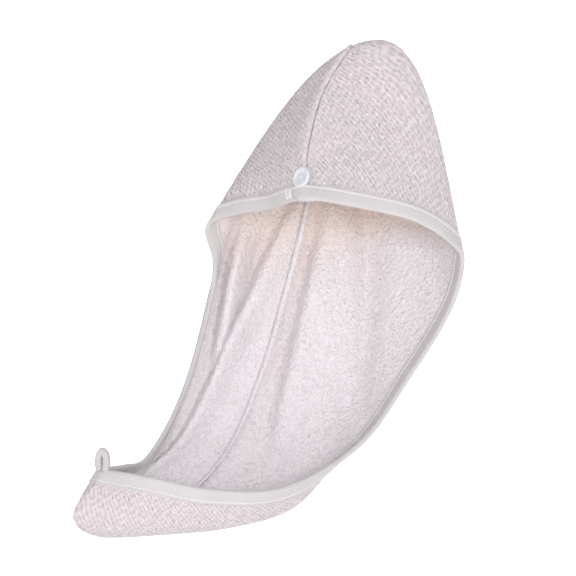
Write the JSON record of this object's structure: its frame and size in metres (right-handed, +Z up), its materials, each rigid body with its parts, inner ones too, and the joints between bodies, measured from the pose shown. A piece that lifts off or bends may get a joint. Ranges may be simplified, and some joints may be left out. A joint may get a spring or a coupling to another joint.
{
  "type": "hair turban towel",
  "caption": "Hair towel with a pointed hood, one middle seam, a bound face edge, a brow button and a tail that ends in an open pocket with a band loop.",
  "frame": {"origin": "head seat, inside the top of the hood", "axes": "+Z up, towards the hood's peak; +Y back from the brow; +X to the wearer's left, seen from the front to the right"},
  "size_m": [0.3654, 0.1806, 0.4684],
  "materials": {
    "towelling": "soft waffle towelling, pale rose white",
    "tape": "smooth woven binding tape",
    "button_plastic": "glossy, slightly translucent",
    "thread": "cotton sewing thread"
  },
  "bodies": {
    "root": {"left_panel": "towelling", "right_panel": "towelling", "seam_ridge": "towelling", "rim_binding": "tape", "button": "button_plastic", "button_thread": "thread", "button_loop": "tape"}
  },
  "joints": []
}
